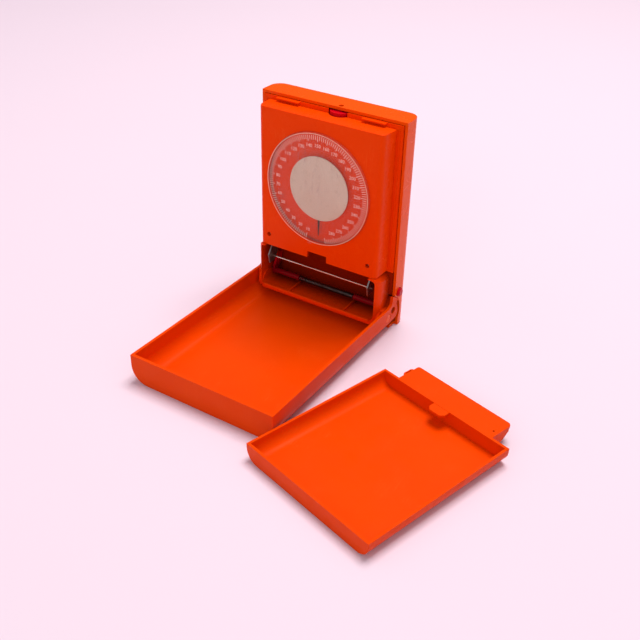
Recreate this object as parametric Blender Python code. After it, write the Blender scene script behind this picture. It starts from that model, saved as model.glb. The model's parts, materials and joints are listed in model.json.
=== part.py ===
"""Folding kitchen scale: upright housing with a dial, fold-down lid, loose weighing pan.

Frame: X to the right when facing the dial, +Y towards the back, +Z up. The origin is on the lid's
underside, midway between its sides, straight below the lid's hinge axis. Sizes are in millimetres
and become metres where a mesh is made.
"""
import math

import bmesh
import bpy
from mathutils import Matrix, Vector

MM = 0.001
GAP = 0.4                     # clearance between neighbouring pieces
FIT = 0.3                     # clearance round pins, shafts and rods

# Driving dimensions
WIDTH = 140.0                 # housing and lid
WALL = 2.6                    # moulded wall
HINGE_Z = 16.5                # lid axis above the table
RIM_Y = 9.5                   # housing's front rim behind the lid axis
LID_REACH = 177.0             # lid axis to the lid's far wall
SHELL_DEPTH = 22.3            # front rim to back face
SHELL_CORNER_R = 10.0         # upright back edges
LID_CORNER_R = 15.0           # long lower edges of the lid
EAR_R = 20.0                  # lid ears about the axis
PANEL_FRONT_Y = -10.0         # face of the raised dial panel
PANEL_HALF = 61.0
PANEL_TOP = 187.0
PANEL_BOTTOM = 57.9
DIAL_Z = 125.7
DIAL_R = 50.5                 # clear window
DISC_R = 28.9                 # centre disc
BIN_FRONT_Y = -12.9
BIN_HALF = 64.0
BIN_BOTTOM = 11.5
BIN_WALL = 4.2
BIN_CORNER_R = 11.3           # upright front corners, inside the folded lid's rounded edges
LOCK_Y, LOCK_Z, LOCK_R = 8.2, 21.0, 2.5
KNOB_Y, KNOB_Z, KNOB_R = 16.6, 36.0, 4.0
KNOB_STEM_R = 1.8
CARRIER_Y, CARRIER_Z, CARRIER_R = -2.5, 43.0, 0.7
ARM_X = 52.0                  # yoke arms, middle of the sheet
SHEET = 1.2                   # steel sheet
YOKE_TRAVEL = 12.0
PINION_R = 2.0                # pitch radius: one turn takes 12.57 mm of rack
PINION_TEETH = 8
WHEEL_X, WHEEL_Y, WHEEL_R = 6.3, 13.2, 9.4
WHEEL_LOW, WHEEL_TOP = 182.2, 189.8
ZERO_SCREW_R = 2.0
SCREW_X, SCREW_Z = 51.0, 68.5  # panel screws
GUIDE_X, GUIDE_Y, GUIDE_R = 34.0, 24.4, 1.7
SPRING_X, SPRING_Y, SPRING_R = 20.0, 23.6, 3.1
SLOT_X, SLOT_Z, SLOT_R = 40.0, 160.0, 4.0  # hanging slots in the back
PAN_WIDTH, PAN_LENGTH, PAN_DEPTH = 127.5, 142.2, 14.7
PAN_WALL = 2.2
PAN_CORNER_R = 11.0
FLAP_HALF, FLAP_REACH = 48.0, 23.3
HOOK_DEPTH = 5.5
TAB_HALF, TAB_REACH, TAB_CUT = 7.9, 8.6, 3.2
PAN_PLACE = (124.9, -218.6)   # middle of the pan's front wall on the table
PAN_TURN = math.radians(-16.0)

# Derived sizes
HALF = WIDTH / 2
LID_DEPTH = HINGE_Z + RIM_Y - GAP
TOP_Z = HINGE_Z + LID_REACH
BACK_Y = RIM_Y + SHELL_DEPTH
INNER_HALF = HALF - WALL
FLANGE_FRONT = RIM_Y - 1.3
FLANGE_BACK = FLANGE_FRONT + 2.4
FLANGE_HALF = INNER_HALF - 0.5
PANEL_INNER_Y = PANEL_FRONT_Y + WALL
BIN_BACK = 20.3               # lower part, which holds the locks
BIN_BACK_FRONT = BIN_BACK - 1.4
BIN_TOP_BACK = 13.4           # taller part behind the panel
BIN_INNER = BIN_HALF - BIN_WALL
BIN_TOP = PANEL_BOTTOM - GAP
CHEEK = INNER_HALF - 0.7      # outer ends of the bin's hinge bosses
SLIDER_END = INNER_HALF - FIT
FRAME_BACK = BACK_Y - WALL - GAP
FRAME_FRONT = FRAME_BACK - SHEET
SHAFT_R = 1.0
PIN_R = 4.0


# ---------------------------------------------------------------- materials
def material(name, color, roughness, metallic=0.0, alpha=1.0):
    mat = bpy.data.materials.new(name)
    mat.use_nodes = True
    shader = mat.node_tree.nodes["Principled BSDF"]
    shader.inputs["Base Color"].default_value = (*color, 1.0)
    shader.inputs["Roughness"].default_value = roughness
    shader.inputs["Metallic"].default_value = metallic
    shader.inputs["Alpha"].default_value = alpha
    return mat


def make_materials():
    return {
        "orange": material("orange", (0.90, 0.10, 0.005), 0.25),
        "red": material("red", (0.50, 0.005, 0.01), 0.25),
        "beige": material("beige", (0.72, 0.60, 0.46), 0.45),
        "clear": material("clear", (0.9, 0.9, 0.9), 0.05, 0.0, 0.25),
        "black": material("black", (0.02, 0.02, 0.02), 0.5),
        "steel": material("steel", (0.60, 0.58, 0.55), 0.35, 1.0),
        "brass": material("brass", (0.75, 0.55, 0.25), 0.35, 1.0),
    }


# ---------------------------------------------------------------- shape helpers
def clear_scene():
    for obj in list(bpy.data.objects):
        bpy.data.objects.remove(obj, do_unlink=True)


def add_object(name, bm, mat=None, smooth=True):
    bmesh.ops.recalc_face_normals(bm, faces=bm.faces)
    mesh = bpy.data.meshes.new(name)
    bm.to_mesh(mesh)
    bm.free()
    obj = bpy.data.objects.new(name, mesh)
    bpy.context.scene.collection.objects.link(obj)
    if mat is not None:
        mesh.materials.append(mat)
    if smooth:
        mesh.shade_smooth()
        mesh.set_sharp_from_angle(angle=math.radians(30))
    return obj


def prism(points, axis, low, high):
    """A closed prism: the outline's points lie across the axis, in X, Y, Z order."""
    order = {"x": lambda a, b, c: (c, a, b), "y": lambda a, b, c: (a, c, b), "z": lambda a, b, c: (a, b, c)}
    place = order[axis]
    bm = bmesh.new()
    rings = []
    for level in (low, high):
        rings.append([bm.verts.new(Vector(place(a, b, level)) * MM) for a, b in points])
    count = len(points)
    bm.faces.new(rings[0])
    bm.faces.new(rings[1])
    for i in range(count):
        j = (i + 1) % count
        bm.faces.new((rings[0][i], rings[0][j], rings[1][j], rings[1][i]))
    return bm


def box(low, high):
    return prism([(low[0], low[1]), (high[0], low[1]), (high[0], high[1]), (low[0], high[1])], "z",
                 low[2], high[2])


def arc(center, radius, start, end, steps):
    """Points on an arc, angles in degrees."""
    points = []
    for i in range(steps + 1):
        angle = math.radians(start + (end - start) * i / steps)
        points.append((center[0] + radius * math.cos(angle), center[1] + radius * math.sin(angle)))
    return points


def circle(center, radius, steps):
    return arc(center, radius, 0, 360, steps)[:-1]


def rounded(corners, steps=6):
    """An outline from corners (a, b, radius); a radius of 0 keeps the corner sharp."""
    outline = []
    count = len(corners)
    for i, (a, b, radius) in enumerate(corners):
        here = Vector((a, b))
        if radius <= 0:
            outline.append((a, b))
            continue
        before = (Vector(corners[i - 1][:2]) - here).normalized()
        after = (Vector(corners[(i + 1) % count][:2]) - here).normalized()
        half = before.angle(after) / 2
        center = here + (before + after).normalized() * (radius / math.sin(half))
        first = here + before * (radius / math.tan(half)) - center
        last = here + after * (radius / math.tan(half)) - center
        turn = first.angle_signed(last)
        for k in range(steps + 1):
            point = first.copy()
            point.rotate(Matrix.Rotation(-turn * k / steps, 2))
            outline.append((center.x + point.x, center.y + point.y))
    return outline


def rod(axis, center, radius, low, high, steps=24):
    return prism(circle(center, radius, steps), axis, low, high)


def turned(profile, center, steps):
    """A closed ring or disc turned about the Y axis through center, from (radius, y) points."""
    bm = bmesh.new()
    rings = []
    for i in range(steps):
        angle = 2 * math.pi * i / steps
        ring = []
        for radius, y in profile:
            point = Vector((center[0] + radius * math.cos(angle), y, center[1] + radius * math.sin(angle)))
            ring.append(bm.verts.new(point * MM))
        rings.append(ring)
    count = len(profile)
    for i in range(steps):
        here, there = rings[i], rings[(i + 1) % steps]
        for k in range(count):
            m = (k + 1) % count
            bm.faces.new((here[k], here[m], there[m], there[k]))
    bmesh.ops.remove_doubles(bm, verts=bm.verts, dist=1e-7)
    return bm


def combine(obj, bm, operation):
    """Applies one exact Boolean with a throwaway second shape."""
    other = add_object("tool", bm, smooth=False)
    step = obj.modifiers.new("step", "BOOLEAN")
    step.operation = operation
    step.solver = "EXACT"
    step.object = other
    graph = bpy.context.evaluated_depsgraph_get()
    result = bpy.data.meshes.new_from_object(obj.evaluated_get(graph))
    obj.modifiers.clear()
    old, spent = obj.data, other.data
    obj.data = result
    bpy.data.objects.remove(other, do_unlink=True)
    bpy.data.meshes.remove(spent)
    bpy.data.meshes.remove(old)
    return obj


def cut(obj, bm):
    return combine(obj, bm, "DIFFERENCE")


def join(obj, bm):
    return combine(obj, bm, "UNION")


def common(obj, bm):
    return combine(obj, bm, "INTERSECT")


def finish(obj, name, mat):
    """Gives a Boolean result its name, material and shading."""
    obj.name = name
    mesh = obj.data
    mesh.name = name
    mesh.materials.clear()
    mesh.materials.append(mat)
    mesh.shade_smooth()
    mesh.set_sharp_from_angle(angle=math.radians(30))
    return obj


def both_sides(low, high):
    """The same stretch of X on the right and on the left."""
    return ((low, high), (-high, -low))


def coil(center, radius, wire, start, end, turns, axis, per_turn=8, sides=5):
    """A helical spring as one closed tube; center holds the two coordinates across the axis."""
    bm = bmesh.new()
    total = int(turns * per_turn)
    swap = {"x": lambda a, b, c: (c, a, b), "z": lambda a, b, c: (a, b, c)}[axis]
    rings = []
    for i in range(total + 1):
        angle = 2 * math.pi * i / per_turn
        level = start + (end - start) * i / total
        ring = []
        for k in range(sides):
            around = 2 * math.pi * k / sides
            reach = radius + wire * math.cos(around)
            a = center[0] + reach * math.cos(angle)
            b = center[1] + reach * math.sin(angle)
            ring.append(bm.verts.new(Vector(swap(a, b, level + wire * math.sin(around))) * MM))
        rings.append(ring)
    for i in range(total):
        for k in range(sides):
            m = (k + 1) % sides
            bm.faces.new((rings[i][k], rings[i][m], rings[i + 1][m], rings[i + 1][k]))
    bm.faces.new(rings[0])
    bm.faces.new(rings[-1])
    return bm


# ---------------------------------------------------------------- lid
def lid_section(half, bottom, radius, top):
    """The lid's cross-section outline in X and Z: upright sides, large lower corners."""
    return rounded([(-half, top, 0), (-half, bottom, radius), (half, bottom, radius), (half, top, 0)], 7)


def lid_side(offset, ear):
    """The lid's side outline in Y and Z, drawn offset inwards from the outer faces."""
    radius = HINGE_Z - offset
    tail = arc((0, HINGE_Z), radius, -90, 32, 12)
    far = -LID_REACH + offset
    if not ear:
        return [(far, 60), (far, offset)] + arc((0, HINGE_Z), radius, -90, 0, 9) + [(radius, 60)]
    crown = arc((0, HINGE_Z), EAR_R, 38, 71, 5)
    return [(far, LID_DEPTH), (far, offset)] + tail + crown + [(5.6, 28.6), (3.6, 26.9), (0.0, LID_DEPTH)]


def make_lid(mats):
    lid = add_object("lid_blank", prism(lid_section(HALF, 0, LID_CORNER_R, 60), "y", -LID_REACH - 5, 40))
    common(lid, prism(lid_side(0, True), "x", -HALF - 5, HALF + 5))
    hollow = add_object("hollow", prism(lid_section(INNER_HALF, WALL, LID_CORNER_R - WALL, 70), "y",
                                        -LID_REACH - 5, 40))
    common(hollow, prism(lid_side(WALL, False), "x", -HALF - 5, HALF + 5))
    inner = bmesh.new()
    inner.from_mesh(hollow.data)
    bpy.data.objects.remove(hollow, do_unlink=True)
    cut(lid, inner)
    # between the cheeks the tail stops below the housing's floor
    cut(lid, box((-INNER_HALF, 9.0, 5.5), (INNER_HALF, 30.0, 60.0)))
    for low, high in both_sides(INNER_HALF - 1, HALF + 1):
        cut(lid, rod("x", (0, HINGE_Z), PIN_R + GAP, low, high, 28))
        cut(lid, rod("x", (LOCK_Y, LOCK_Z), 3.6, low, high, 24))
    return finish(lid, "lid", mats["orange"])


def make_hinge_pins(mats):
    for side, (low, high) in zip(("right", "left"), both_sides(61.0, HALF - 0.1)):
        add_object("hinge_pin_" + side, rod("x", (0, HINGE_Z), PIN_R, low, high, 28), mats["orange"])


# ---------------------------------------------------------------- rear shell
def shell_plan(inset, radius, front):
    half = HALF - inset
    back = BACK_Y - inset
    return rounded([(-half, front, 0), (half, front, 0), (half, back, radius), (-half, back, radius)], 7)


def keyhole(x, z):
    """A hanging slot through the back wall: a round entry with a narrow slot above it."""
    entry = rod("y", (x, z), SLOT_R, BACK_Y - 6, BACK_Y + 2, 24)
    slot = prism(rounded([(x - 2, z, 0), (x + 2, z, 0), (x + 2, z + 10, 1.9), (x - 2, z + 10, 1.9)], 4), "y",
                 BACK_Y - 6, BACK_Y + 2)
    return entry, slot


def make_shell(mats):
    bm = prism(shell_plan(0, SHELL_CORNER_R, RIM_Y), "z", 0, TOP_Z)
    lower = [e for e in bm.edges if all(v.co.z < MM for v in e.verts) and
             not all(v.co.y < (RIM_Y + 0.1) * MM for v in e.verts)]
    bmesh.ops.bevel(bm, geom=lower, offset=1.6 * MM, segments=3, profile=0.5, affect="EDGES")
    shell = add_object("shell_blank", bm)
    cut(shell, prism(shell_plan(WALL, SHELL_CORNER_R - WALL, RIM_Y - 10), "z", WALL, TOP_Z - WALL))
    cut(shell, rod("x", (0, HINGE_Z), HINGE_Z + 0.6, -HALF - 1, HALF + 1, 64))
    recess = [(-1.0, -1.0), (18.6, -1.0)] + arc((0, HINGE_Z), EAR_R + 0.5, -24, 90, 20) + [(-1.0, 37.0)]
    for low, high in both_sides(INNER_HALF - 1.0, HALF + 1):
        cut(shell, prism(recess, "x", low, high))
        cut(shell, rod("x", (KNOB_Y, KNOB_Z), KNOB_R + GAP, low, high, 28))
    cut(shell, rod("z", (WHEEL_X, WHEEL_Y), 2.2, TOP_Z - 5, TOP_Z + 1, 20))
    for x in (-SLOT_X, SLOT_X):
        for tool in keyhole(x, SLOT_Z):
            cut(shell, tool)
    return finish(shell, "rear_shell", mats["orange"])


# ---------------------------------------------------------------- front panel
def panel_plan(inset):
    """The raised panel's plan outline: drafted sides and soft front corners."""
    front = PANEL_FRONT_Y + inset
    base = PANEL_HALF + 0.5 - inset
    face = PANEL_HALF - 1.0 - inset
    radius = max(4.5 - inset, 1.5)
    back = FLANGE_BACK + 5 if inset else FLANGE_BACK
    return rounded([(-base, back, 0), (-face, front, radius), (face, front, radius), (base, back, 0)], 5)


def panel_face(half, bottom, top, radius):
    return rounded([(-half, top, 0), (-half, bottom, radius), (half, bottom, radius), (half, top, 0)], 5)


def make_front_panel(mats):
    raised = prism(panel_plan(0), "z", PANEL_BOTTOM, PANEL_TOP)
    edges = [e for e in raised.edges if all(v.co.z > (PANEL_TOP - 0.1) * MM for v in e.verts) and
             not all(v.co.y > 0.009 for v in e.verts)]
    bmesh.ops.bevel(raised, geom=edges, offset=0.8 * MM, segments=2, profile=0.5, affect="EDGES")
    panel = add_object("panel_blank", raised)
    common(panel, prism(panel_face(PANEL_HALF + 2, PANEL_BOTTOM, PANEL_TOP + 1, 5.0), "y", -40, 40))
    join(panel, box((-FLANGE_HALF, FLANGE_FRONT, PANEL_BOTTOM + 0.01),
                    (FLANGE_HALF, FLANGE_BACK, TOP_Z - WALL - GAP)))
    cut(panel, prism(panel_plan(WALL), "z", PANEL_BOTTOM - 5, PANEL_TOP - WALL))
    cut(panel, rod("y", (0, DIAL_Z), DIAL_R + GAP, -30, 0, 72))
    cut(panel, box((-10, -30, 50), (10, 0, 64)))
    for x in (-SCREW_X, SCREW_X):
        cut(panel, rod("y", (x, SCREW_Z), 2.1, -30, 0, 20))
    cut(panel, rod("z", (WHEEL_X, WHEEL_Y), WHEEL_R + 0.8, 181.5, 200, 48))
    for low, high in ((-53.0, -30.5), (30.0, 52.0)):
        join(panel, box((low, FLANGE_FRONT - 3.2, 189.2), (high, FLANGE_FRONT + 1, 190.3)))
    for low, high in both_sides(63.6, 64.6):
        join(panel, box((low, FLANGE_FRONT - 0.9, 62.0), (high, FLANGE_FRONT + 1, 186.0)))
    for x in (-56.0, 56.0):
        for z in (80.0, 176.0):
            join(panel, box((x - 2.8, PANEL_INNER_Y - 1, z - 2.8), (x + 2.8, FRAME_FRONT - GAP, z + 2.8)))
    return finish(panel, "front_panel", mats["orange"])


def make_panel_screws(mats):
    for side, x in (("right", SCREW_X), ("left", -SCREW_X)):
        screw = add_object("screw_blank", rod("y", (x, SCREW_Z), 1.7, PANEL_FRONT_Y + 3.4,
                                              PANEL_FRONT_Y + 5, 20))
        join(screw, rod("y", (x, SCREW_Z), 1.1, PANEL_FRONT_Y + 4.5, 6, 14))
        cut(screw, box((x - 1.2, -20, SCREW_Z - 0.3), (x + 1.2, PANEL_FRONT_Y + 4.1, SCREW_Z + 0.3)))
        finish(screw, "panel_screw_" + side, mats["steel"])


# ---------------------------------------------------------------- bin moulding
def bin_outline(half, bottom, top, low_radius, high_radius):
    return rounded([(-half, bottom, low_radius), (half, bottom, low_radius), (half, top, high_radius),
                    (-half, top, high_radius)], 7)


def bin_body():
    """The open box below the dial, with its taller part behind the panel."""
    body = add_object("bin_blank", prism(bin_outline(BIN_HALF, BIN_BOTTOM, BIN_TOP, 10, 7), "y",
                                         BIN_FRONT_Y, BIN_BACK))
    nose = [(BIN_FRONT_Y, BIN_TOP + 20), (BIN_FRONT_Y, 14.2), (-12.0, 12.6), (-10.4, BIN_BOTTOM - 1),
            (BIN_BACK, BIN_BOTTOM - 1), (BIN_BACK, BIN_TOP + 20)]
    common(body, prism(nose, "x", -80, 80))
    common(body, prism(rounded([(-BIN_HALF, BIN_BACK + 1, 0), (-BIN_HALF, BIN_FRONT_Y, BIN_CORNER_R),
                                (BIN_HALF, BIN_FRONT_Y, BIN_CORNER_R), (BIN_HALF, BIN_BACK + 1, 0)], 7),
                       "z", 0, 90))
    join(body, box((-55.6, PANEL_INNER_Y + GAP, BIN_TOP - 8), (55.6, BIN_TOP_BACK, 72.2)))
    hollow = prism(bin_outline(BIN_INNER, BIN_BOTTOM + 2.8, BIN_TOP - 0.6, 7, 5), "y", BIN_FRONT_Y - 10,
                   BIN_BACK_FRONT)
    cut(body, hollow)
    cut(body, box((-54.0, -30, 40), (54.0, BIN_TOP_BACK - 2.2, 66.0)))
    join(body, prism([(BIN_FRONT_Y + 0.3, 13.6), (BIN_FRONT_Y + 0.1, 16.2), (BIN_FRONT_Y + 0.9, 16.8),
                      (BIN_FRONT_Y + 2.6, 16.6), (BIN_FRONT_Y + 3.0, 12.5), (BIN_FRONT_Y + 2.0, 12.5)],
                     "x", -56, 56))
    return body


def make_bin(mats):
    body = bin_body()
    for low, high in both_sides(28.7, 30.1):
        join(body, prism([(-11.0, 13.5), (-11.0, 16.2), (4.0, 17.2), (BIN_BACK_FRONT + 1, 17.6),
                          (BIN_BACK_FRONT + 1, 13.5)], "x", low, high))
    for low, high in both_sides(BIN_INNER - 1, BIN_HALF):
        join(body, rod("x", (0, HINGE_Z), 9.0, low, high, 32))
    for low, high in both_sides(BIN_HALF - 1, CHEEK):
        join(body, rod("x", (0, HINGE_Z), 5.1, low, high, 32))
        join(body, box((low, -5.0, 18.0), (high, 10.0, 25.2)))
    # closes the side recess that the lid's ears swing in
    sector = [(0, HINGE_Z)] + arc((0, HINGE_Z), EAR_R - 0.4, -14, 62, 10)
    for low, high in both_sides(BIN_HALF - 0.5, CHEEK):
        join(body, prism(sector, "x", low, high))
    join(body, box((-FLANGE_HALF, FLANGE_FRONT, 36.0), (FLANGE_HALF, FLANGE_BACK, BIN_TOP)))
    cut(body, box((-54.0, 0, 20), (54.0, BIN_TOP_BACK - 2.2, 66.0)))
    for low, high in both_sides(BIN_INNER + 0.7, HALF):
        cut(body, rod("x", (0, HINGE_Z), PIN_R + FIT, low, high, 28))
    for low, high in both_sides(BIN_INNER - 5, HALF):
        cut(body, rod("x", (LOCK_Y, LOCK_Z), LOCK_R + GAP, low, high, 24))
        cut(body, rod("x", (KNOB_Y, KNOB_Z), KNOB_STEM_R + GAP, low, high, 20))
    for low, high in both_sides(ARM_X - 1.1, ARM_X + 1.1):
        cut(body, box((low, 5, 38.0), (high, 30, 63.5)))
    for x in (-SCREW_X, SCREW_X):
        cut(body, rod("y", (x, SCREW_Z), 1.5, -30, 7, 14))
        cut(body, rod("y", (x, SCREW_Z), 2.1, -30, PANEL_FRONT_Y + 5.4, 20))
    return finish(body, "bin", mats["orange"])


# ---------------------------------------------------------------- lid lock
def make_lock_sliders(mats):
    """A red slider each side: rod in the bin, arm through the back wall, side knob."""
    for side, sign in (("right", 1), ("left", -1)):
        def span(a, b):
            return (a, b) if sign > 0 else (-b, -a)
        slider = add_object("slider_blank", rod("x", (LOCK_Y, LOCK_Z), LOCK_R, *span(29.6, SLIDER_END)))
        join(slider, rod("x", (LOCK_Y, LOCK_Z), 1.1, *span(23.5, 30.5), 14))
        arm = [(5.8, 18.6), (11.0, 18.6), (18.4, 33.5), (18.4, 39.0), (13.6, 39.0), (5.8, 26.0)]
        join(slider, prism(arm, "x", *span(56.0, 58.2)))
        join(slider, rod("x", (KNOB_Y, KNOB_Z), KNOB_STEM_R, *span(57.5, 68.0), 20))
        join(slider, rod("x", (KNOB_Y, KNOB_Z), KNOB_R, *span(67.4, 71.6), 28))
        join(slider, rod("x", (KNOB_Y, KNOB_Z), KNOB_R - 1.0, *span(71.0, 72.4), 28))
        finish(slider, "lock_slider_" + side, mats["red"])
    add_object("lock_spring", coil((LOCK_Y, LOCK_Z), 2.0, 0.42, -28.6, 28.6, 24, "x"), mats["black"])


# ---------------------------------------------------------------- dial
def make_dial(mats):
    outer = DIAL_R
    lens = [(0.0, -10.7), (outer - 2.0, -10.7), (outer - 1.0, -11.3), (outer, -10.9), (outer, -7.0),
            (outer + 1.1, -7.0), (outer + 1.1, -6.3), (outer - 1.2, -6.3), (outer - 1.2, -9.5), (0.0, -9.5)]
    window = add_object("window_blank", turned(lens, (0, DIAL_Z), 80))
    nub_angle = math.radians(263)
    nub = (DIAL_R * math.cos(nub_angle), DIAL_Z + DIAL_R * math.sin(nub_angle))
    join(window, rod("y", nub, 2.2, -12.6, PANEL_FRONT_Y - GAP, 20))
    finish(window, "dial_window", mats["clear"])
    add_object("centre_disc", rod("y", (0, DIAL_Z), DISC_R, -9.1, -8.5, 64), mats["beige"])
    plate = add_object("plate_blank", rod("y", (0, DIAL_Z), 53.0, -5.6, -4.6, 72))
    cut(plate, rod("y", (0, DIAL_Z), 2.4, -8, 0, 20))
    finish(plate, "dial_plate", mats["orange"])


def make_pointer(mats):
    z = DIAL_Z
    needle = add_object("needle_blank", prism([(-0.7, z + 6), (0.7, z + 6), (1.0, z - 30), (0.35, z - 44),
                                               (-0.35, z - 44), (-1.0, z - 30)], "y", -7.9, -7.4))
    join(needle, rod("y", (0, z), 3.2, -7.9, -6.2, 24))
    join(needle, rod("z", (0, -7.65), 0.2, z + 5, z + 16, 8))
    cut(needle, rod("y", (0, z), SHAFT_R + FIT, -7.0, 0, 20))
    finish(needle, "pointer", mats["black"])
    add_object("pointer_shaft", rod("y", (0, z), SHAFT_R, -6.6, FRAME_BACK - 0.4, 20), mats["steel"])


def pinion_outline():
    """Short rounded teeth; the first tooth points along +X, into a gap of the rack."""
    points = []
    pitch = 2 * math.pi / PINION_TEETH
    for i in range(PINION_TEETH):
        for share, radius in ((-0.30, 1.62), (-0.12, 2.32), (0.12, 2.32), (0.30, 1.62)):
            angle = (i + share) * pitch
            points.append((radius * math.cos(angle), DIAL_Z + radius * math.sin(angle)))
    return points


def make_pinion(mats):
    pinion = add_object("pinion_blank", prism(pinion_outline(), "y", 18.0, 22.6))
    cut(pinion, rod("y", (0, DIAL_Z), SHAFT_R + FIT, 17, 24, 16))
    finish(pinion, "pinion", mats["brass"])


def make_rack(mats):
    """A toothed strip; its pitch line touches the pinion's pitch circle on the +X side."""
    pitch = 2 * math.pi * PINION_R / PINION_TEETH
    points = [(6.2, 145.0), (3.0, 145.0)]
    level = DIAL_Z + 11.5 * pitch
    while level > 119.0:
        points += [(2.9, level + 0.30 * pitch), (1.85, level + 0.16 * pitch), (1.85, level - 0.16 * pitch),
                   (2.9, level - 0.30 * pitch)]
        level -= pitch
    points += [(3.0, 78.0), (3.0, 71.0), (6.2, 71.0)]
    add_object("rack", prism(points, "y", 19.0, 20.3), mats["brass"])


# ---------------------------------------------------------------- yoke, springs and frame
def make_yoke(mats):
    """Sheet-steel yoke: a cross plate behind the bin and two arms that reach into it."""
    arm = [(-9.8, 46.5), (-4.2, 54.8), (3.5, 56.0), (4.5, 61.0), (14.6, 61.0), (14.6, 75.0), (21.9, 75.0),
           (21.9, 52.0), (7.5, 50.0), (-0.5, 38.6), (-8.2, 37.6)]
    yoke = add_object("yoke_blank", prism(arm, "x", ARM_X - SHEET / 2, ARM_X + SHEET / 2))
    join(yoke, prism(arm, "x", -ARM_X - SHEET / 2, -ARM_X + SHEET / 2))
    join(yoke, box((-ARM_X, 20.7, 62.0), (ARM_X, 21.9, 75.0)))
    for x in (-GUIDE_X, GUIDE_X):
        join(yoke, rod("z", (x, GUIDE_Y), 2.9, 62.5, 74.5, 20))
        cut(yoke, rod("z", (x, GUIDE_Y), GUIDE_R + GAP, 60, 80, 20))
    for x in (-ARM_X, ARM_X):
        cut(yoke, rod("x", (CARRIER_Y, CARRIER_Z), CARRIER_R + FIT, x - 3, x + 3, 16))
    finish(yoke, "yoke", mats["steel"])
    add_object("carrier_rod", rod("x", (CARRIER_Y, CARRIER_Z), CARRIER_R, -ARM_X - 1.6, ARM_X + 1.6, 16),
               mats["steel"])


def make_springs(mats):
    for side, x in (("right", SPRING_X), ("left", -SPRING_X)):
        spring = coil((x, SPRING_Y), SPRING_R, 0.55, 76.1, 168.6, 16, "z")
        add_object("main_spring_" + side, spring, mats["steel"])


def make_frame(mats):
    """U-shaped sheet-steel frame behind the dial: holds the guides, the shaft and the hanger."""
    frame = add_object("frame_blank", box((-59.0, FRAME_FRONT, 48.5), (59.0, FRAME_BACK, 182.0)))
    join(frame, box((-59.0, 12.2, 180.0), (59.0, FRAME_BACK, 181.2)))
    join(frame, box((-40.0, BIN_BACK + GAP, 47.7), (40.0, FRAME_BACK, 48.9)))
    cut(frame, rod("y", (0, DIAL_Z), SHAFT_R + FIT, 20, 40, 20))
    cut(frame, rod("z", (WHEEL_X, WHEEL_Y), 2.6, 170, 190, 20))
    for x in (-GUIDE_X, GUIDE_X):
        cut(frame, rod("z", (x, GUIDE_Y), GUIDE_R + FIT, 178, 184, 20))
        cut(frame, rod("z", (x, GUIDE_Y), GUIDE_R + FIT, 46, 49.2, 20))
    cut(frame, box((-30, 20, 90), (-12, 40, 112)))
    cut(frame, box((12, 20, 90), (30, 40, 112)))
    finish(frame, "mechanism_frame", mats["steel"])
    for side, x in (("right", GUIDE_X), ("left", -GUIDE_X)):
        add_object("guide_rod_" + side, rod("z", (x, GUIDE_Y), GUIDE_R, 47.0, 182.0, 20), mats["steel"])
    bridge = add_object("bridge_blank", box((-50.0, 14.2, 118.0), (50.0, 15.4, 134.0)))
    for low, high in both_sides(48.8, 50.0):
        join(bridge, box((low, 14.2, 118.0), (high, FRAME_FRONT - FIT, 134.0)))
    cut(bridge, rod("y", (0, DIAL_Z), SHAFT_R + FIT, 10, 20, 20))
    finish(bridge, "bearing_bridge", mats["steel"])


def make_zero_adjuster(mats):
    """Knurled thumbwheel in the panel's top, its screw, and the spring hanger that the screw lifts."""
    teeth = 36
    points = []
    for i in range(teeth * 2):
        angle = math.pi * i / teeth
        radius = WHEEL_R if i % 2 else WHEEL_R - 0.45
        points.append((WHEEL_X + radius * math.cos(angle), WHEEL_Y + radius * math.sin(angle)))
    wheel = add_object("wheel_blank", prism(points, "z", WHEEL_LOW, WHEEL_TOP))
    join(wheel, rod("z", (WHEEL_X, WHEEL_Y), 1.8, WHEEL_TOP - 0.8, 192.2, 20))
    join(wheel, rod("z", (WHEEL_X, WHEEL_Y), ZERO_SCREW_R, 176.3, WHEEL_LOW + 0.8, 20))
    finish(wheel, "zero_wheel", mats["red"])
    hanger = add_object("hanger_blank", box((-25.0, 21.0, 169.6), (25.0, 27.0, 172.0)))
    join(hanger, box((WHEEL_X - 5, WHEEL_Y - 5, 169.6), (WHEEL_X + 5, 22.0, 172.0)))
    join(hanger, rod("z", (WHEEL_X, WHEEL_Y), 4.6, 171.0, 179.4, 24))
    cut(hanger, rod("z", (WHEEL_X, WHEEL_Y), ZERO_SCREW_R + 0.35, 174.9, 190, 20))
    finish(hanger, "spring_hanger", mats["steel"])


# ---------------------------------------------------------------- pan
def pan_section(inset):
    half = PAN_WIDTH / 2 - inset
    top = PAN_DEPTH + (5 if inset else 0)
    radius = PAN_CORNER_R - inset
    return rounded([(-half, top, 0), (-half, inset, radius), (half, inset, radius), (half, top, 0)], 7)


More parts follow.
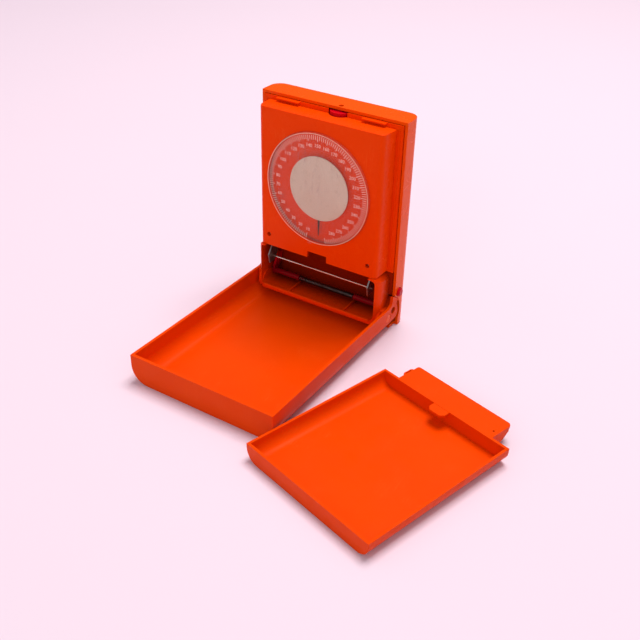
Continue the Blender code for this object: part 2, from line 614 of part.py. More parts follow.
def make_pan(mats):
    """Tray with a hooked flap on its rear wall; it lies on the table in front of the lid."""
    rear = PAN_LENGTH
    pan = add_object("pan_blank", prism(pan_section(0), "y", 0, rear))
    cut(pan, prism(pan_section(PAN_WALL), "y", PAN_WALL, rear - PAN_WALL))
    edge = rear + FLAP_REACH
    flap = rounded([(-FLAP_HALF, rear - 1, 0), (FLAP_HALF, rear - 1, 0), (FLAP_HALF, edge, 3.5),
                    (-FLAP_HALF, edge, 2.0)])
    join(pan, prism(flap, "z", PAN_DEPTH - 2.0, PAN_DEPTH))
    join(pan, box((-FLAP_HALF + 2.0, edge - 2.0, PAN_DEPTH - HOOK_DEPTH),
                  (FLAP_HALF - 3.5, edge, PAN_DEPTH - 1)))
    gusset = [(rear - 1, PAN_DEPTH - 1), (rear + 20.0, PAN_DEPTH - 1), (rear + 20.0, PAN_DEPTH - 4.5),
              (rear + 14.0, PAN_DEPTH - 9.5), (rear + 6.0, PAN_DEPTH - 12.0), (rear - 1, PAN_DEPTH - 12.8)]
    for low, high in both_sides(FLAP_HALF - 2.1, FLAP_HALF - 0.1):
        join(pan, prism(gusset, "x", low, high))
    tip = rear - PAN_WALL - TAB_REACH
    tab = [(-TAB_HALF, rear - 1), (-TAB_HALF, tip + TAB_CUT), (-5.2, tip), (5.2, tip),
           (TAB_HALF, tip + TAB_CUT), (TAB_HALF, rear - 1)]
    join(pan, prism(tab, "z", PAN_DEPTH - 2.0, PAN_DEPTH - 0.2))
    lug = rounded([(-47.0, rear + 6.0, 0), (-47.0, rear + 18.0, 0), (-50.4, rear + 17.0, 2.4),
                   (-50.4, rear + 7.0, 2.4)], 4)
    join(pan, prism(lug, "z", PAN_DEPTH - 2.4, PAN_DEPTH - 0.5))
    cut(pan, box((-49.4, rear + 8.8, 0), (-48.6, rear + 15.0, PAN_DEPTH + 1)))
    cut(pan, rod("z", (43.6, rear + 6.8), 0.8, PAN_DEPTH - 5, PAN_DEPTH + 1, 14))
    finish(pan, "pan", mats["orange"])
    pan.location = (PAN_PLACE[0] * MM, PAN_PLACE[1] * MM, 0)
    pan.rotation_euler = (0, 0, PAN_TURN)


def put_origin(name, point):
    """Puts a turning piece's origin on its joint axis."""
    obj = bpy.data.objects[name]
    place = Vector(point) * MM
    obj.data.transform(Matrix.Translation(-place))
    obj.location = place


def main():
    clear_scene()
    mats = make_materials()
    make_lid(mats)
    make_hinge_pins(mats)
    make_shell(mats)
    make_front_panel(mats)
    make_panel_screws(mats)
    make_bin(mats)
    make_lock_sliders(mats)
    make_dial(mats)
    make_pointer(mats)
    make_pinion(mats)
    make_rack(mats)
    make_yoke(mats)
    make_springs(mats)
    make_frame(mats)
    make_zero_adjuster(mats)
    make_pan(mats)
    for name in ("lid", "hinge_pin_right", "hinge_pin_left"):
        put_origin(name, (0, 0, HINGE_Z))
    for name in ("pointer", "pointer_shaft", "pinion", "dial_window"):
        put_origin(name, (0, 0, DIAL_Z))
    put_origin("zero_wheel", (WHEEL_X, WHEEL_Y, (WHEEL_LOW + WHEEL_TOP) / 2))


main()
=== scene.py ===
"""Looks of the folding kitchen scale: finished surfaces, dial print, springs, studio and camera.

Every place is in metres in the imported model's frame: X to the right when facing the dial, +Y to the
back, +Z up. Sizes of small details are given in millimetres and turned into metres with MM.
"""
import json
import math

import bmesh
import bpy
from mathutils import Matrix, Vector

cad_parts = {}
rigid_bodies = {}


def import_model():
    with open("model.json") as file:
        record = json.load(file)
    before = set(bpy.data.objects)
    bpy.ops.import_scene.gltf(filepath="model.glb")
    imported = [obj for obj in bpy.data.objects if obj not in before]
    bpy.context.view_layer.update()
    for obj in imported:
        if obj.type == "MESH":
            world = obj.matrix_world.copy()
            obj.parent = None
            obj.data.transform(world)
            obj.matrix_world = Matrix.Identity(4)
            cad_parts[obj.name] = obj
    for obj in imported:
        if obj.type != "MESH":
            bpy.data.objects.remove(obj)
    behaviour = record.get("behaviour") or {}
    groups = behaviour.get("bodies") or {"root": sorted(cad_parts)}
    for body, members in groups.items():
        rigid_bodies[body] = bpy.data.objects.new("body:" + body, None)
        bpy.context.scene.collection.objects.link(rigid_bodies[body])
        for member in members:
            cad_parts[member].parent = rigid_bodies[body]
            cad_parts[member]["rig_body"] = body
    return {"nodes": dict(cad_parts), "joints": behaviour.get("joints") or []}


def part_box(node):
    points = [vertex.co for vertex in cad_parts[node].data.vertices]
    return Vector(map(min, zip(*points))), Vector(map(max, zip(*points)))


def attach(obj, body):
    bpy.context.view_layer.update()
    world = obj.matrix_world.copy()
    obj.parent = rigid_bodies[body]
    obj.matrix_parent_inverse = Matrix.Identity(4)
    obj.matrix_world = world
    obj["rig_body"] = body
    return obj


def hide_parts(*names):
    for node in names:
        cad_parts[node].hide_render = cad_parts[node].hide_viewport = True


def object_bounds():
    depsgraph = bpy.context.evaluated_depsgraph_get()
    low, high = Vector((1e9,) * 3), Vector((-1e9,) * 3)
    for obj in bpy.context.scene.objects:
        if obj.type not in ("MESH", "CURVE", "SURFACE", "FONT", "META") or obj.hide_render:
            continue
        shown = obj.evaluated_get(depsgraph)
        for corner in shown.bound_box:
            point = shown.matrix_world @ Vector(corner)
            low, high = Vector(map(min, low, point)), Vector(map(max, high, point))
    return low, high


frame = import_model()
cad_low, cad_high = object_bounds()

MM = 0.001
NODES = frame["nodes"]
DIAL_AXIS = next(j for j in frame["joints"] if j["name"] == "pointer_turn")["pos_m"]
DIAL_X, DIAL_Z = DIAL_AXIS[0], DIAL_AXIS[2]

# Camera: the angle, distance and lens of the view that the object is shown from
CAMERA_AT = (0.3653, -0.5903, 0.4442)
CAMERA_AZIMUTH = 31.97
CAMERA_ELEVATION = 33.26
CAMERA_ROLL = 1.33
CAMERA_LENS = 50.0
CAMERA_SENSOR = 36.0
CAMERA_SHIFT = (0.0032, 0.0003)
CAMERA_CLIP = (0.01, 20.0)

# Dial print and the painted rim highlight, radii and widths in millimetres
DIAL_STEPS = 150              # graduations in a full turn
STEPS_PER_NUMBER = 5
BLANK_STEPS = 5               # left out on both sides of zero
VALUE_PER_NUMBER = 10
TICK_OUTER = 48.3
TICK_INNER, TICK_HALF = 44.4, 0.26
LONG_TICK_INNER, LONG_TICK_HALF = 43.2, 0.30
NUMBER_RADIUS = 39.4
NUMBER_SIZE = 4.2
NUMBER_BOLD = 0.03
# painted highlight on the window's rim: inner and outer radius of a pale ring
RIM_HIGHLIGHT_RADII = (49.3, 49.95)
RIM_HIGHLIGHT_DEPTH = 0.02       # behind the crest of the window's rim
PRINT_DEPTH = 0.58            # just in front of the window's flat face
RING_STEPS = 160

# Springs, in millimetres
LOCK_WIRE_R, LOCK_TURNS = 0.36, 46
MAIN_WIRE_R, MAIN_TURNS = 0.5, 44
LOCK_SLACK, MAIN_SLACK = 0.02, 0.05
COIL_STEPS = 16               # points in one turn

# Rounded edges of mouldings: width in millimetres and number of steps
MOULD_EDGE = (0.45, 3)
SMALL_EDGE = (0.3, 2)
EDGE_ANGLE = math.radians(32)   # flatter edges stay as they are
SHARP_ANGLE = math.radians(50)  # steeper edges are shaded sharp

# Studio, in metres and watts
FLOOR_HALF = 6.0
FLOOR_GAP = 0.0002
OVERHEAD = {"place": (0.15, 0.75, 3.0), "target": (0.05, -0.08, 0.0), "size": (1.5, 1.5), "power": 88.0}
FRONT = {"place": (0.4, -3.0, 1.6), "target": (0.05, -0.05, 0.08), "size": (1.6, 1.2), "power": 12.0}
SKY = (1.0, 0.93, 0.97)
SKY_BEHIND = (0.30, 0.22, 0.18)
SKY_FADES = (("Y", 0.1, 0.6), ("Z", 0.62, 0.42))  # where the darker stretch starts and where it is full
SKY_STRENGTH = 0.50

# Sockets of a colour Mix node
MIX_FIRST, MIX_SECOND, MIX_RESULT = 6, 7, 2


# ---------------------------------------------------------------- node material helpers
class Shader:
    """A Principled material and the few node calls that its recipes need."""

    def __init__(self, name, color, roughness, metallic=0.0):
        self.mat = bpy.data.materials.new(name)
        self.mat.use_nodes = True
        self.tree = self.mat.node_tree
        self.main = self.tree.nodes["Principled BSDF"]
        self.set("Base Color", (*color, 1.0))
        self.set("Roughness", roughness)
        self.set("Metallic", metallic)
        self.coords = self.add("ShaderNodeTexCoord").outputs["Object"]

    def set(self, socket, value):
        self.main.inputs[socket].default_value = value

    def add(self, kind, **settings):
        node = self.tree.nodes.new(kind)
        for key, value in settings.items():
            setattr(node, key, value)
        return node

    def link(self, output, target):
        self.tree.links.new(output, target)

    def noise(self, scale, detail=2.0, roughness=0.5, stretch=None):
        coords = self.coords
        if stretch:
            mapping = self.add("ShaderNodeMapping")
            mapping.inputs["Scale"].default_value = stretch
            self.link(coords, mapping.inputs["Vector"])
            coords = mapping.outputs["Vector"]
        node = self.add("ShaderNodeTexNoise")
        node.inputs["Scale"].default_value = scale
        node.inputs["Detail"].default_value = detail
        node.inputs["Roughness"].default_value = roughness
        self.link(coords, node.inputs["Vector"])
        return node.outputs["Fac"]

    def remap(self, value, low, high, to_low, to_high):
        node = self.add("ShaderNodeMapRange")
        self.link(value, node.inputs["Value"])
        ends = {"From Min": low, "From Max": high, "To Min": to_low, "To Max": to_high}
        for socket, number in ends.items():
            node.inputs[socket].default_value = number
        return node.outputs["Result"]

    def math(self, operation, first, second):
        node = self.add("ShaderNodeMath", operation=operation)
        for socket, value in zip(node.inputs, (first, second)):
            if isinstance(value, (int, float)):
                socket.default_value = value
            else:
                self.link(value, socket)
        return node.outputs["Value"]

    def blend(self, fac, first, second):
        """Mixes two colours; either one may be a colour or another node's output."""
        node = self.add("ShaderNodeMix", data_type="RGBA")
        self.link(fac, node.inputs["Factor"])
        for index, value in ((MIX_FIRST, first), (MIX_SECOND, second)):
            socket = node.inputs[index]
            if isinstance(value, tuple):
                socket.default_value = (*value, 1.0)
            else:
                self.link(value, socket)
        return node.outputs[MIX_RESULT]

    def bump(self, height, strength, distance, below=None):
        node = self.add("ShaderNodeBump")
        node.inputs["Strength"].default_value = strength
        node.inputs["Distance"].default_value = distance
        self.link(height, node.inputs["Height"])
        if below is not None:
            self.link(below, node.inputs["Normal"])
        return node.outputs["Normal"]

    def scratches(self, scale, angle, length, thin):
        """Sparse thin lines: a stretched noise cut to its narrow mid-band, in broken patches."""
        mapping = self.add("ShaderNodeMapping")
        mapping.inputs["Rotation"].default_value = (0.3, 0.2, angle)
        mapping.inputs["Scale"].default_value = (scale, scale / length, scale / length)
        self.link(self.coords, mapping.inputs["Vector"])
        node = self.add("ShaderNodeTexNoise")
        node.inputs["Scale"].default_value = 1.0
        node.inputs["Detail"].default_value = 1.0
        self.link(mapping.outputs["Vector"], node.inputs["Vector"])
        away = self.math("ABSOLUTE", self.math("SUBTRACT", node.outputs["Fac"], 0.5), 0.0)
        line = self.remap(away, 0.0, thin, 1.0, 0.0)
        patch = self.remap(self.noise(38.0, 1.0), 0.56, 0.66, 0.0, 1.0)
        return self.math("MULTIPLY", line, patch)


# What the coloured plastics share
SPECULAR_TINT = (1.0, 0.62, 0.30, 1.0)
SCRATCH_TINT = (1.0, 0.32, 0.08)
DUST_TINT = (1.0, 0.50, 0.25)
LIGHT_REACH = (0.004, 0.0015, 0.0008)  # how far red, green and blue light travel under the skin


def plastic(name, color, deep, roughness, level=0.5, wear=1.0, painted_recess_shade=None):
    """Glossy moulded plastic: slight tone drift, mould ripple, hairline scratches and dust specks.

    painted_recess_shade names an axis and the stretch of it over which painted shade darkens the colour
    towards a deep compartment, with the share it darkens by and the shade's colour.
    """
    s = Shader(name, color, roughness)
    s.set("IOR", 1.50)
    s.set("Specular IOR Level", level)
    s.set("Specular Tint", SPECULAR_TINT)
    s.set("Subsurface Weight", 0.04)
    s.set("Subsurface Radius", LIGHT_REACH)
    s.set("Subsurface Scale", 0.5)
    drift = s.remap(s.noise(22.0, 3.0), 0.35, 0.65, 0.0, 0.35)
    tone = s.blend(drift, color, deep)
    line = s.math("MAXIMUM", s.scratches(900.0, 0.5, 26.0, 0.012), s.scratches(800.0, -1.1, 30.0, 0.010))
    worn = s.remap(line, 0.0, 1.0, 0.0, 0.12 * wear)
    tone = s.blend(worn, tone, SCRATCH_TINT)
    speck = s.remap(s.noise(1500.0, 1.0), 0.80, 0.84, 0.0, 0.35 * wear)
    tone = s.blend(speck, tone, DUST_TINT)
    # painted shade: the colour darkens along one axis towards a deep compartment
    if painted_recess_shade:
        axis, start, end, share, shade = painted_recess_shade
        split = s.add("ShaderNodeSeparateXYZ")
        s.link(s.coords, split.inputs[0])
        tone = s.blend(s.remap(split.outputs[axis], start, end, 0.0, share), tone, shade)
    s.link(tone, s.main.inputs["Base Color"])
    smudge = s.remap(s.noise(45.0, 4.0, 0.6), 0.38, 0.68, roughness * 0.85, roughness * 1.35)
    rough = s.math("ADD", smudge, s.math("MULTIPLY", line, 0.18))
    s.link(rough, s.main.inputs["Roughness"])
    ripple = s.bump(s.noise(60.0, 1.0), 0.10, 0.0004)
    grain = s.bump(s.noise(2600.0, 2.0), 0.05, 0.00004, ripple)
    s.link(s.bump(line, -0.25, 0.00002, grain), s.main.inputs["Normal"])
    return s.mat


def metal(name, color, roughness, brushed, tarnish):
    """Plated sheet metal: fine draw lines along brushed, with dull tarnished patches."""
    s = Shader(name, color, roughness, 1.0)
    stain = s.remap(s.noise(120.0, 4.0, 0.65), 0.45, 0.70, 0.0, 0.8)
    s.link(s.blend(stain, color, tarnish), s.main.inputs["Base Color"])
    lines = s.noise(1.0, 2.0, 0.6, brushed)
    spread = s.remap(lines, 0.3, 0.7, roughness * 0.75, roughness * 1.4)
    s.link(s.math("ADD", spread, s.math("MULTIPLY", stain, 0.15)), s.main.inputs["Roughness"])
    s.link(s.bump(lines, 0.15, 0.00003), s.main.inputs["Normal"])
    return s.mat


def printed(name, color, alpha):
    """Ink on clear plastic, for the dial's print and for the painted highlight on the window's rim: a
    little uneven where the ink went on thin.
    """
    s = Shader(name, color, 0.45)
    patchy = s.remap(s.noise(900.0, 2.0), 0.3, 0.7, alpha * 0.8, min(1.0, alpha * 1.15))
    s.link(patchy, s.main.inputs["Alpha"])
    s.link(s.bump(s.noise(3000.0, 1.0), 0.1, 0.00001), s.main.inputs["Normal"])
    return s.mat


def clear_plastic(name):
    """Clear acrylic: mostly see-through with a faint pale haze, fine scratches and its gloss."""
    s = Shader(name, (0.70, 0.40, 0.36), 0.07)
    s.set("IOR", 1.49)
    haze = s.remap(s.noise(30.0, 3.0), 0.3, 0.7, 0.05, 0.09)
    line = s.math("MAXIMUM", s.scratches(700.0, 0.9, 30.0, 0.010), s.scratches(650.0, -0.4, 26.0, 0.012))
    s.link(s.math("ADD", haze, s.math("MULTIPLY", line, 0.25)), s.main.inputs["Alpha"])
    s.link(s.remap(line, 0.0, 1.0, 0.06, 0.30), s.main.inputs["Roughness"])
    s.link(s.bump(s.noise(25.0, 1.0), 0.05, 0.0003), s.main.inputs["Normal"])
    return s.mat


def disc_plastic(name):
    """Satin off-white plastic of the centre disc, slightly yellowed in clouds."""
    fresh, yellowed = (0.72, 0.66, 0.50), (0.66, 0.57, 0.40)
    s = Shader(name, fresh, 0.30)
    s.set("Coat Weight", 0.3)
    s.set("Coat Roughness", 0.1)
    age = s.remap(s.noise(70.0, 3.0), 0.35, 0.7, 0.0, 0.5)
    s.link(s.blend(age, fresh, yellowed), s.main.inputs["Base Color"])
    s.link(s.remap(s.noise(200.0, 3.0), 0.3, 0.7, 0.25, 0.38), s.main.inputs["Roughness"])
    s.link(s.bump(s.noise(2200.0, 2.0), 0.06, 0.00003), s.main.inputs["Normal"])
    return s.mat


def floor_paper(name):
    """Seamless pale studio paper."""
    light, dark = (0.78, 0.635, 0.72), (0.77, 0.625, 0.708)
    s = Shader(name, light, 0.9)
    s.set("Specular IOR Level", 0.15)
    tone = s.remap(s.noise(6.0, 3.0), 0.3, 0.7, 0.0, 0.25)
    s.link(s.blend(tone, light, dark), s.main.inputs["Base Color"])
    s.link(s.bump(s.noise(1800.0, 3.0), 0.04, 0.00005), s.main.inputs["Normal"])
    return s.mat


ORANGE = plastic("glossy_orange", (0.90, 0.084, 0.0), (0.84, 0.070, 0.0), 0.22, level=0.15)
PANEL_ORANGE = plastic("panel_orange", (0.90, 0.056, 0.0), (0.85, 0.046, 0.0), 0.26, level=0.08)
# painted shade inside the bin, darker towards its back
BIN_ORANGE = plastic("bin_orange", (0.90, 0.052, 0.0), (0.85, 0.042, 0.0), 0.26, level=0.1,
                     painted_recess_shade=("Y", -0.006, 0.010, 0.85, (0.12, 0.003, 0.0)))
TRAY_ORANGE = plastic("tray_orange", (0.80, 0.056, 0.0), (0.76, 0.046, 0.0), 0.34, level=0.08,
                      wear=0.8)
RED = plastic("glossy_red", (0.60, 0.001, 0.010), (0.50, 0.001, 0.008), 0.18, level=0.25)
STEEL = metal("plated_steel", (0.52, 0.49, 0.45), 0.34, (60.0, 60.0, 2400.0), (0.30, 0.24, 0.18))
BRASS = metal("stamped_brass", (0.70, 0.48, 0.20), 0.34, (60.0, 2400.0, 60.0), (0.38, 0.22, 0.09))
DULL_STEEL = metal("dull_steel", (0.30, 0.29, 0.28), 0.42, (60.0, 60.0, 2400.0), (0.18, 0.15, 0.12))
BRIGHT_WIRE = metal("bright_wire", (0.92, 0.84, 0.74), 0.22, (90.0, 1500.0, 1500.0), (0.70, 0.60, 0.48))
SPRING_STEEL = metal("spring_wire", (0.42, 0.40, 0.38), 0.30, (1500.0, 1500.0, 90.0), (0.20, 0.17, 0.14))
BLACK_WIRE = metal("blackened_wire", (0.14, 0.13, 0.12), 0.35, (90.0, 1500.0, 1500.0), (0.03, 0.02, 0.02))
# painted shade on the rods inside the bin, darker lower down below the knobs
SLIDER_RED = plastic("slider_red", (0.56, 0.001, 0.012), (0.48, 0.001, 0.010), 0.25, level=0.2,
                     painted_recess_shade=("Z", 0.031, 0.026, 0.7, (0.10, 0.001, 0.006)))
BLACK = plastic("black_lacquer", (0.015, 0.014, 0.014), (0.010, 0.010, 0.011), 0.38)
CLEAR = clear_plastic("clear_acrylic")
DISC = disc_plastic("aged_ivory")
INK = printed("pale_ink", (1.0, 0.66, 0.52), 0.90)
# painted highlight: the pale ring on the window's rim
RIM_HIGHLIGHT_INK = printed("painted_rim_highlight", (1.0, 0.62, 0.44), 0.85)
FLOOR = floor_paper("studio_paper")


# ---------------------------------------------------------------- finished copies of CAD nodes
def assign(obj, mat):
    obj.data.materials.clear()
    obj.data.materials.append(mat)


def finish_piece(obj, body, slot_name, *nodes):
    """Says which body a piece rides on and which CAD nodes it stands for, and hides them; slot_name, the
    material slot, is not used.
    """
    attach(obj, body)
    if nodes:
        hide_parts(*nodes)


def mesh_object(name, bm, mat):
    mesh = bpy.data.meshes.new(name)
    bm.to_mesh(mesh)
    bm.free()
    obj = bpy.data.objects.new(name, mesh)
    bpy.context.scene.collection.objects.link(obj)
    mesh.materials.append(mat)
    return obj


def keep_inside(obj, node):
    """Applies a copy's modifiers and pulls any corner that overshot back to its CAD node's box."""
    low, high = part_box(node)
    graph = bpy.context.evaluated_depsgraph_get()
    rough = obj.data
    obj.data = bpy.data.meshes.new_from_object(obj.evaluated_get(graph))
    obj.modifiers.clear()
    bpy.data.meshes.remove(rough)
    for vertex in obj.data.vertices:
        for i in range(3):
            vertex.co[i] = min(max(vertex.co[i], low[i]), high[i])


def soften(node, mat, slot_name, edge):
    """A finished copy of a CAD node whose hard edges are rounded as a mould leaves them."""
    source = NODES[node]
    bm = bmesh.new()
    bm.from_mesh(source.data)
    bmesh.ops.remove_doubles(bm, verts=bm.verts, dist=0.00001)
    obj = mesh_object(node + "_moulded", bm, mat)
    bevel = obj.modifiers.new("edges", "BEVEL")
    width, bevel.segments = edge
    bevel.width = width * MM
    bevel.limit_method = "ANGLE"
    bevel.angle_limit = EDGE_ANGLE
    bevel.use_clamp_overlap = True
    obj.data.shade_smooth()
    obj.data.set_sharp_from_angle(angle=SHARP_ANGLE)
    flatten = obj.modifiers.new("flat_faces", "WEIGHTED_NORMAL")
    flatten.weight = 100
    flatten.keep_sharp = True
    keep_inside(obj, node)
    finish_piece(obj, source["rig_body"], slot_name, node)


# ---------------------------------------------------------------- dial
def outer_line(y):
    """A painted highlight: the thin pale ring round the window's rim."""
    bm = bmesh.new()
    loops = []
    for radius in RIM_HIGHLIGHT_RADII:
        loop = []
        for i in range(RING_STEPS):
            angle = 2 * math.pi * i / RING_STEPS
            x, z = radius * MM * math.cos(angle), radius * MM * math.sin(angle)
            loop.append(bm.verts.new((DIAL_X + x, y, DIAL_Z + z)))
        loops.append(loop)
    for i in range(RING_STEPS):
        j = (i + 1) % RING_STEPS
        bm.faces.new((loops[0][i], loops[0][j], loops[1][j], loops[1][i]))
    return mesh_object("dial_rim_highlight", bm, RIM_HIGHLIGHT_INK)


def dial_point(clock, radius, y):
    """A point on the dial, radius in millimetres; clock counts turns clockwise from straight down."""
    angle = -math.pi / 2 - 2 * math.pi * clock
    return Vector((DIAL_X + radius * MM * math.cos(angle), y, DIAL_Z + radius * MM * math.sin(angle)))


def tick_marks(y):
    """Fine graduations right round, with longer ones at each numbered step."""
    bm = bmesh.new()
    for i in range(BLANK_STEPS, DIAL_STEPS - BLANK_STEPS + 1):
        clock = i / DIAL_STEPS
        inner, half = TICK_INNER, TICK_HALF
        if i % STEPS_PER_NUMBER == 0:
            inner, half = LONG_TICK_INNER, LONG_TICK_HALF
        a, b = dial_point(clock, inner, y), dial_point(clock, TICK_OUTER, y)
        side = (b - a).cross(Vector((0, 1, 0))).normalized() * half * MM
        bm.faces.new([bm.verts.new(p) for p in (a - side, b - side, b + side, a + side)])
    return mesh_object("dial_graduations", bm, INK)


def dial_number(value, clock, y):
    """One upright number, drawn as outline text and turned into a flat mesh."""
    curve = bpy.data.curves.new("number", "FONT")
    curve.body = str(value)
    curve.size = NUMBER_SIZE * MM
    curve.align_x = "CENTER"
    curve.align_y = "CENTER"
    curve.resolution_u = 2
    curve.offset = NUMBER_BOLD * MM
    temp = bpy.data.objects.new("number", curve)
    bpy.context.scene.collection.objects.link(temp)
    bpy.context.view_layer.update()
    mesh = bpy.data.meshes.new_from_object(temp)
    bpy.data.objects.remove(temp, do_unlink=True)
    bpy.data.curves.remove(curve)
    upright = Matrix.Rotation(math.pi / 2, 4, "X")
    mesh.transform(Matrix.Translation(dial_point(clock, NUMBER_RADIUS, y)) @ upright)
    return mesh


def dial_numbers(y):
    bm = bmesh.new()
    count = DIAL_STEPS // STEPS_PER_NUMBER
    for i in range(1, count - 1):
        mesh = dial_number(i * VALUE_PER_NUMBER, i / count, y)
        bm.from_mesh(mesh)
        bpy.data.meshes.remove(mesh)
    return mesh_object("dial_numbers", bm, INK)


def make_dial():
    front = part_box("dial_window")[0].y
    print_y = front + PRINT_DEPTH * MM
    # the print, and the painted highlight ring on the window's rim
    for piece in (tick_marks(print_y), dial_numbers(print_y), outer_line(front + RIM_HIGHLIGHT_DEPTH * MM)):
        finish_piece(piece, "dial_window", "beige")
    assign(NODES["dial_plate"], PANEL_ORANGE)
    assign(NODES["centre_disc"], DISC)
    assign(NODES["pointer"], BLACK)
    assign(NODES["pointer_shaft"], STEEL)
    soften("dial_window", CLEAR, "clear", SMALL_EDGE)


# ---------------------------------------------------------------- springs
def wire(name, points, radius, mat):
    """A round wire through points, as a swept tube with closed ends."""
    curve = bpy.data.curves.new(name, "CURVE")
    curve.dimensions = "3D"
    curve.bevel_depth = radius
    curve.bevel_resolution = 3
    curve.use_fill_caps = True
    spline = curve.splines.new("POLY")
    spline.points.add(len(points) - 1)
    for target, point in zip(spline.points, points):
        target.co = (*point, 1.0)
    temp = bpy.data.objects.new(name, curve)
    bpy.context.scene.collection.objects.link(temp)
    bpy.context.view_layer.update()
    mesh = bpy.data.meshes.new_from_object(temp)
    bpy.data.objects.remove(temp, do_unlink=True)
    bpy.data.curves.remove(curve)
    mesh.materials.clear()
    mesh.materials.append(mat)
    mesh.shade_smooth()
    obj = bpy.data.objects.new(name, mesh)
    bpy.context.scene.collection.objects.link(obj)
    return obj


def even(share):
    """How far along its spring a share of the wire has come: wound evenly."""
    return share


def closing(share):
    """Wound loosely at the start and nearly closed at the end."""
    return 1.45 * share - 0.45 * share * share


def coil_points(start, axes, length, radius, turns, pitch):
    """Points of a helix; axes are the spring's own axis and the two across it."""
    along, across, up = axes
    points = []
    total = turns * COIL_STEPS
    for i in range(total + 1):
        angle = 2 * math.pi * i / COIL_STEPS
        round_axis = across * (radius * math.cos(angle)) + up * (radius * math.sin(angle))
        points.append(start + along * (pitch(i / total) * length) + round_axis)
    return points


def make_springs():
    x_axis, y_axis, z_axis = Vector((1, 0, 0)), Vector((0, 1, 0)), Vector((0, 0, 1))
    low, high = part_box("lock_spring")
    middle = (low + high) / 2
    thick = LOCK_WIRE_R * MM
    radius = (high.z - low.z) / 2 - thick - LOCK_SLACK * MM
    start = Vector((low.x + thick, middle.y, middle.z))
    length = high.x - low.x - 2 * thick
    points = coil_points(start, (x_axis, y_axis, z_axis), length, radius, LOCK_TURNS, closing)
    coil = wire("lock_spring_coil", points, thick, BLACK_WIRE)
    finish_piece(coil, "housing", "black", "lock_spring")
    for side in ("right", "left"):
        low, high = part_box("main_spring_" + side)
        middle = (low + high) / 2
        thick = MAIN_WIRE_R * MM
        radius = (high.x - low.x) / 2 - thick - MAIN_SLACK * MM
        start = Vector((middle.x, middle.y, low.z + thick))
        length = high.z - low.z - 2 * thick
        points = coil_points(start, (z_axis, x_axis, y_axis), length, radius, MAIN_TURNS, even)
        coil = wire(f"main_spring_{side}_coil", points, thick, SPRING_STEEL)
        finish_piece(coil, "housing", "steel", "main_spring_" + side)


# ---------------------------------------------------------------- studio
def area_light(name, place, target, size, power):
    data = bpy.data.lights.new(name, "AREA")
    data.shape = "RECTANGLE"
    data.size, data.size_y = size
    data.energy = power
    obj = bpy.data.objects.new(name, data)
    obj.location = place
    obj.rotation_euler = (Vector(target) - Vector(place)).to_track_quat("-Z", "Y").to_euler()
    bpy.context.scene.collection.objects.link(obj)


def make_floor():
    bm = bmesh.new()
    depth = cad_low.z - FLOOR_GAP
    corners = [(-FLOOR_HALF, -FLOOR_HALF, depth), (FLOOR_HALF, -FLOOR_HALF, depth),
               (FLOOR_HALF, FLOOR_HALF, depth), (-FLOOR_HALF, FLOOR_HALF, depth)]
    bm.faces.new([bm.verts.new(c) for c in corners])
    floor = mesh_object("studio_floor", bm, FLOOR)


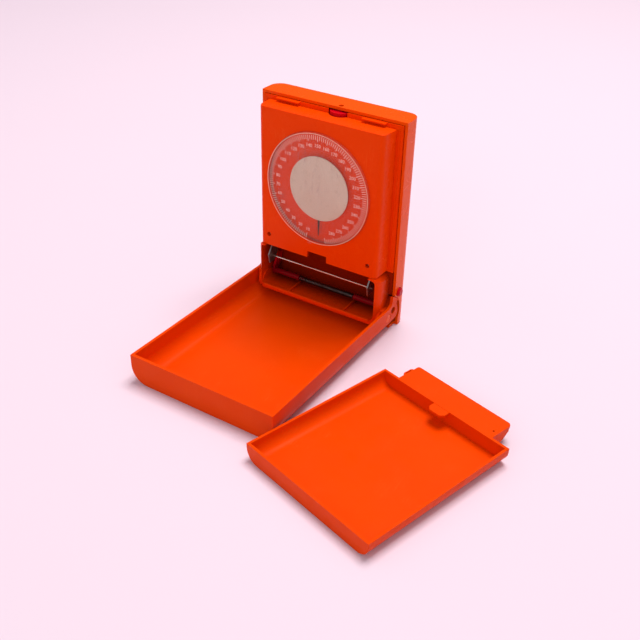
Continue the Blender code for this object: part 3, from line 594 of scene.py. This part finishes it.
def make_sky():
    """Even pale surroundings, with a darker stretch low down behind the object."""
    world = bpy.data.worlds.new("studio_world")
    bpy.context.scene.world = world
    world.use_nodes = True
    tree = world.node_tree
    back = tree.nodes["Background"]
    back.inputs["Strength"].default_value = SKY_STRENGTH
    direction = tree.nodes.new("ShaderNodeTexCoord").outputs["Generated"]
    split = tree.nodes.new("ShaderNodeSeparateXYZ")
    tree.links.new(direction, split.inputs[0])
    both = tree.nodes.new("ShaderNodeMath")
    both.operation = "MULTIPLY"
    for socket, (axis, start, full) in zip(both.inputs, SKY_FADES):
        ramp = tree.nodes.new("ShaderNodeMapRange")
        ramp.inputs["From Min"].default_value = start
        ramp.inputs["From Max"].default_value = full
        tree.links.new(split.outputs[axis], ramp.inputs["Value"])
        tree.links.new(ramp.outputs["Result"], socket)
    mix = tree.nodes.new("ShaderNodeMix")
    mix.data_type = "RGBA"
    tree.links.new(both.outputs["Value"], mix.inputs["Factor"])
    mix.inputs[MIX_FIRST].default_value = (*SKY, 1.0)
    mix.inputs[MIX_SECOND].default_value = (*SKY_BEHIND, 1.0)
    tree.links.new(mix.outputs[MIX_RESULT], back.inputs["Color"])


def make_camera():
    data = bpy.data.cameras.new("camera")
    data.lens = CAMERA_LENS
    data.sensor_width = CAMERA_SENSOR
    data.shift_x, data.shift_y = CAMERA_SHIFT
    data.clip_start, data.clip_end = CAMERA_CLIP
    camera = bpy.data.objects.new("camera", data)
    az, el, roll = (math.radians(a) for a in (CAMERA_AZIMUTH, CAMERA_ELEVATION, CAMERA_ROLL))
    back = Vector((math.sin(az) * math.cos(el), -math.cos(az) * math.cos(el), math.sin(el)))
    right = Vector((math.cos(az), math.sin(az), 0.0))
    up = back.cross(right)
    rolled_right = right * math.cos(roll) + up * math.sin(roll)
    rolled_up = up * math.cos(roll) - right * math.sin(roll)
    turn = Matrix((rolled_right, rolled_up, back)).transposed().to_4x4()
    camera.matrix_world = Matrix.Translation(CAMERA_AT) @ turn
    bpy.context.scene.collection.objects.link(camera)
    bpy.context.scene.camera = camera


def main():
    finishes = {"lid": TRAY_ORANGE, "rear_shell": ORANGE, "front_panel": PANEL_ORANGE, "bin": BIN_ORANGE,
                "pan": TRAY_ORANGE}
    for node, mat in finishes.items():
        soften(node, mat, "orange", MOULD_EDGE)
    for node in ("hinge_pin_right", "hinge_pin_left"):
        soften(node, ORANGE, "orange", SMALL_EDGE)
    soften("zero_wheel", RED, "red", SMALL_EDGE)
    for node in ("lock_slider_right", "lock_slider_left"):
        soften(node, SLIDER_RED, "red", SMALL_EDGE)
    assign(NODES["yoke"], DULL_STEEL)
    assign(NODES["carrier_rod"], BRIGHT_WIRE)
    for node in ("mechanism_frame", "bearing_bridge", "spring_hanger",
                 "guide_rod_right", "guide_rod_left", "panel_screw_right", "panel_screw_left"):
        assign(NODES[node], STEEL)
    for node in ("rack", "pinion"):
        assign(NODES[node], BRASS)
    make_dial()
    make_springs()
    make_floor()
    area_light("overhead", **OVERHEAD)
    area_light("front", **FRONT)
    make_sky()
    make_camera()
    bpy.context.scene.view_settings.view_transform = "Standard"


main()
